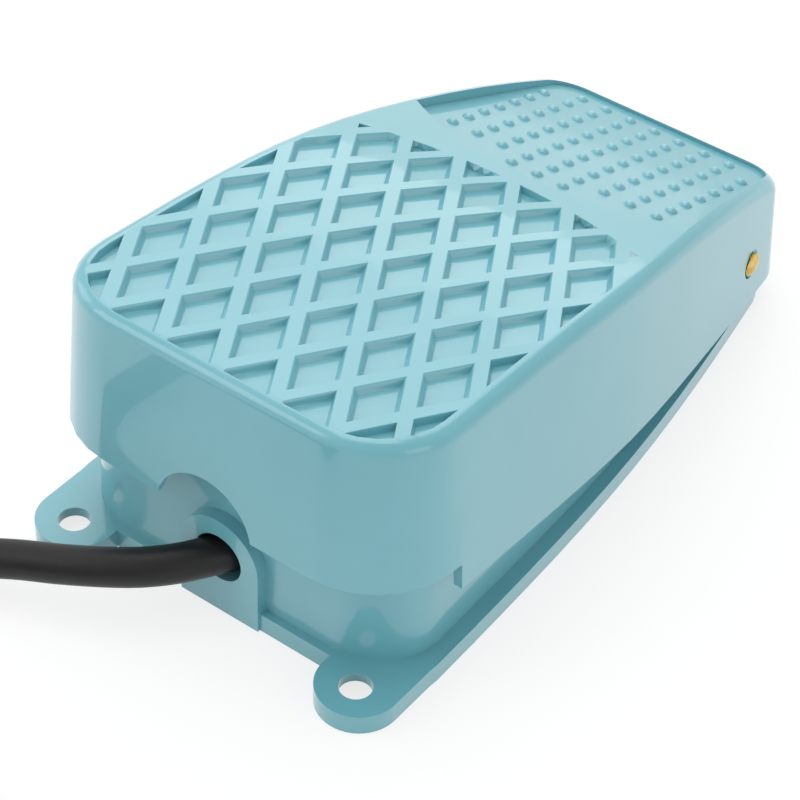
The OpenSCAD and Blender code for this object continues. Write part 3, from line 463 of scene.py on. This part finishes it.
# ---------------------------------------------------------------- Hinge pin
# A brass pin with domed ends runs across the heel. It is turned on a lathe, so fine rings run
# round it, and the air has dulled it in patches.
pin_brass, tree, shader, place = start_material("turned brass, lightly tarnished")
tarnish = add_node(tree, "ShaderNodeTexNoise", {"Scale": 260, "Detail": 5, "Roughness": 0.6}, {"Vector": place})
tint = add_node(tree, "ShaderNodeValToRGB", {}, {"Fac": tarnish.outputs["Fac"]})
tint.color_ramp.elements[0].position = 0.35
tint.color_ramp.elements[0].color = linear("#c39c48")
tint.color_ramp.elements[1].position = 0.7
tint.color_ramp.elements[1].color = linear("#ecd18a")
tree.links.new(tint.outputs["Color"], shader.inputs["Base Color"])
rough = add_node(tree, "ShaderNodeMapRange", {"To Min": 0.16, "To Max": 0.34}, {"Value": tarnish.outputs["Fac"]})
tree.links.new(rough.outputs["Result"], shader.inputs["Roughness"])
rings = add_node(tree, "ShaderNodeTexWave", {"Scale": 900, "bands_direction": "X", "Distortion": 0.3},
                 {"Vector": place})
bump = add_node(tree, "ShaderNodeBump", {"Strength": 0.08, "Distance": 0.00005}, {"Height": rings.outputs["Fac"]})
tree.links.new(bump.outputs["Normal"], shader.inputs["Normal"])
shader.inputs["Metallic"].default_value = 1
finish_of("hinge_pin", pin_brass)


# ---------------------------------------------------------------- Rings and spring
# Spring steel, oiled after hardening: dark grey with a thin brownish film. Two rings hold the pin
# between the lugs of the base, and a coil spring under the pedal lifts it.
spring_steel, tree, shader, place = start_material("oiled spring steel")
film = add_node(tree, "ShaderNodeTexNoise", {"Scale": 340, "Detail": 5}, {"Vector": place})
tint = add_node(tree, "ShaderNodeValToRGB", {}, {"Fac": film.outputs["Fac"]})
tint.color_ramp.elements[0].position = 0.35
tint.color_ramp.elements[0].color = linear("#5f5c58")
tint.color_ramp.elements[1].position = 0.7
tint.color_ramp.elements[1].color = linear("#8b8f95")
tree.links.new(tint.outputs["Color"], shader.inputs["Base Color"])
rough = add_node(tree, "ShaderNodeMapRange", {"To Min": 0.22, "To Max": 0.42}, {"Value": film.outputs["Fac"]})
tree.links.new(rough.outputs["Result"], shader.inputs["Roughness"])
shader.inputs["Metallic"].default_value = 1
finish_of("retaining_rings", spring_steel)
finish_of("return_spring", spring_steel)


# ---------------------------------------------------------------- Screws, nuts, bracket and clamp
# Bright zinc plate on steel: a cool silver with a faint straw tint where the passivation is
# thicker, and rolling lines along the pressed bracket and clamp.
zinc, tree, shader, place = start_material("bright zinc plated steel")
tinge = add_node(tree, "ShaderNodeTexNoise", {"Scale": 180, "Detail": 5}, {"Vector": place})
tint = add_node(tree, "ShaderNodeValToRGB", {}, {"Fac": tinge.outputs["Fac"]})
tint.color_ramp.elements[0].position = 0.35
tint.color_ramp.elements[0].color = linear("#b7bbc3")
tint.color_ramp.elements[1].position = 0.72
tint.color_ramp.elements[1].color = linear("#d6d2c4")
tree.links.new(tint.outputs["Color"], shader.inputs["Base Color"])
rough = add_node(tree, "ShaderNodeMapRange", {"To Min": 0.2, "To Max": 0.4}, {"Value": tinge.outputs["Fac"]})
tree.links.new(rough.outputs["Result"], shader.inputs["Roughness"])
stretch = add_node(tree, "ShaderNodeMapping", {"Scale": (1, 0.06, 1)}, {"Vector": place})
lines = add_node(tree, "ShaderNodeTexNoise", {"Scale": 2500, "Detail": 2}, {"Vector": stretch.outputs["Vector"]})
bump = add_node(tree, "ShaderNodeBump", {"Strength": 0.12, "Distance": 0.00005}, {"Height": lines.outputs["Fac"]})
tree.links.new(bump.outputs["Normal"], shader.inputs["Normal"])
shader.inputs["Metallic"].default_value = 1
for node in ("adjusting_screw", "lock_nut", "switch_bracket", "bracket_screws", "switch_screws", "switch_nuts",
             "cable_clamp", "clamp_screws"):
    finish_of(node, zinc)


# ---------------------------------------------------------------- Switch case and cover
# A phenolic moulding filled with wood flour, which shows as fine lighter flecks in the dark brown,
# under the skin that a polished mould leaves.
bakelite, tree, shader, place = start_material("brown phenolic moulding")
flour = add_node(tree, "ShaderNodeTexNoise", {"Scale": 1300, "Detail": 6, "Roughness": 0.7}, {"Vector": place})
tint = add_node(tree, "ShaderNodeValToRGB", {}, {"Fac": flour.outputs["Fac"]})
tint.color_ramp.elements[0].position = 0.4
tint.color_ramp.elements[0].color = linear("#2a1c15")
tint.color_ramp.elements[1].position = 0.72
tint.color_ramp.elements[1].color = linear("#553a29")
tree.links.new(tint.outputs["Color"], shader.inputs["Base Color"])
rough = add_node(tree, "ShaderNodeMapRange", {"To Min": 0.26, "To Max": 0.42}, {"Value": flour.outputs["Fac"]})
tree.links.new(rough.outputs["Result"], shader.inputs["Roughness"])
bump = add_node(tree, "ShaderNodeBump", {"Strength": 0.08, "Distance": 0.00005}, {"Height": flour.outputs["Fac"]})
tree.links.new(bump.outputs["Normal"], shader.inputs["Normal"])
finish_of("switch_case", bakelite)
finish_of("switch_cover", bakelite)


# ---------------------------------------------------------------- Plunger
# The button that the adjusting screw pushes, moulded in red acetal: waxy, slightly translucent.
acetal, tree, shader, place = start_material("red acetal, waxy")
wax = add_node(tree, "ShaderNodeTexNoise", {"Scale": 600, "Detail": 3}, {"Vector": place})
tint = add_node(tree, "ShaderNodeValToRGB", {}, {"Fac": wax.outputs["Fac"]})
tint.color_ramp.elements[0].color = linear("#93190f")
tint.color_ramp.elements[1].color = linear("#b72a1c")
tree.links.new(tint.outputs["Color"], shader.inputs["Base Color"])
rough = add_node(tree, "ShaderNodeMapRange", {"To Min": 0.26, "To Max": 0.36}, {"Value": wax.outputs["Fac"]})
tree.links.new(rough.outputs["Result"], shader.inputs["Roughness"])
finish_of("switch_plunger", acetal)


# ---------------------------------------------------------------- Terminals and wires
# The terminals, their screws, the earth eye and its screw are stamped or turned brass, duller than
# the pin. The three cores of the lead run to them through the tray.
stamped_brass, tree, shader, place = start_material("stamped brass")
tarnish = add_node(tree, "ShaderNodeTexNoise", {"Scale": 420, "Detail": 4}, {"Vector": place})
tint = add_node(tree, "ShaderNodeValToRGB", {}, {"Fac": tarnish.outputs["Fac"]})
tint.color_ramp.elements[0].color = linear("#b28d45")
tint.color_ramp.elements[1].color = linear("#dcc07a")
tree.links.new(tint.outputs["Color"], shader.inputs["Base Color"])
rough = add_node(tree, "ShaderNodeMapRange", {"To Min": 0.24, "To Max": 0.44}, {"Value": tarnish.outputs["Fac"]})
tree.links.new(rough.outputs["Result"], shader.inputs["Roughness"])
shader.inputs["Metallic"].default_value = 1
for node in ("terminal_common", "terminal_no", "terminal_nc", "terminal_screws", "earth_ring", "earth_screw"):
    finish_of(node, stamped_brass)
finish_of("wire_live", core_pvc["brown"])
finish_of("wire_load", core_pvc["blue"])
finish_of("wire_earth", core_pvc["green and yellow"])

# The nodes that new pieces stand for keep the finish of those pieces
for node in ("base", "pedal"):
    finish_of(node, enamel)
for node in ("cable", "cable_coil", "cable_tail"):
    finish_of(node, sheath)
finish_of("cable_end", tinned)


# ---------------------------------------------------------------- Floor
# A matt white sheet. It shows as plain white wherever it is seen, and keeps a soft shadow.
bpy.ops.mesh.primitive_plane_add(size=8, location=(0, 0, 0))
floor = bpy.context.object
floor.name = "floor"
paper, tree, shader, place = start_material("matt white floor")
shader.inputs["Base Color"].default_value = linear("#f4f4f4")
shader.inputs["Roughness"].default_value = 0.9
ray = add_node(tree, "ShaderNodeLightPath")
seen = add_node(tree, "ShaderNodeMath", {"operation": "MAXIMUM"},
                {0: ray.outputs["Is Camera Ray"], 1: ray.outputs["Is Glossy Ray"]})
seen = add_node(tree, "ShaderNodeMath", {"operation": "MAXIMUM"},
                {0: seen.outputs["Value"], 1: ray.outputs["Is Transmission Ray"]})
share = add_node(tree, "ShaderNodeMath", {"operation": "MULTIPLY", 1: 0.72}, {0: seen.outputs["Value"]})
plain = add_node(tree, "ShaderNodeEmission", {"Color": (1, 1, 1, 1), "Strength": 1.05})
both = add_node(tree, "ShaderNodeMixShader", {}, {0: share.outputs["Value"], 1: shader.outputs["BSDF"],
                                                 2: plain.outputs["Emission"]})
tree.links.new(both.outputs["Shader"], tree.nodes["Material Output"].inputs["Surface"])
floor.data.materials.append(paper)
floor.select_set(False)


# ---------------------------------------------------------------- Light
# An even white surround, with large soft lamps whose reflections run along the rounded rim.
world = bpy.data.worlds.new("studio")
world.use_nodes = True
bpy.context.scene.world = world
background = world.node_tree.nodes["Background"]
background.inputs["Color"].default_value = (1, 1, 1, 1)
background.inputs["Strength"].default_value = 0.7


def lamp(name, place, size, power):
    """A square area lamp of the given side that faces the switch."""
    data = bpy.data.lights.new(name, "AREA")
    data.size = size
    data.energy = power
    obj = bpy.data.objects.new(name, data)
    obj.location = place
    obj.rotation_euler = (Vector((0, 0, 0.03)) - Vector(place)).to_track_quat("-Z", "Y").to_euler()
    bpy.context.scene.collection.objects.link(obj)


lamp("back lamp", (-0.65, 0.95, 1.0), 1.2, 5.3)
lamp("low back lamp", (-0.75, 1.15, 0.45), 0.7, 0.8)
lamp("high lamp", (-0.3, 0.2, 1.6), 1.0, 6.5)
lamp("front lamp", (-0.8, -0.9, 0.8), 0.7, 3.1)
lamp("right lamp", (1.4, -0.2, 0.5), 0.7, 1.8)
lamp("left lamp", (-1.4, -0.2, 0.6), 0.7, 2.0)

bpy.context.scene.view_settings.view_transform = "Standard"
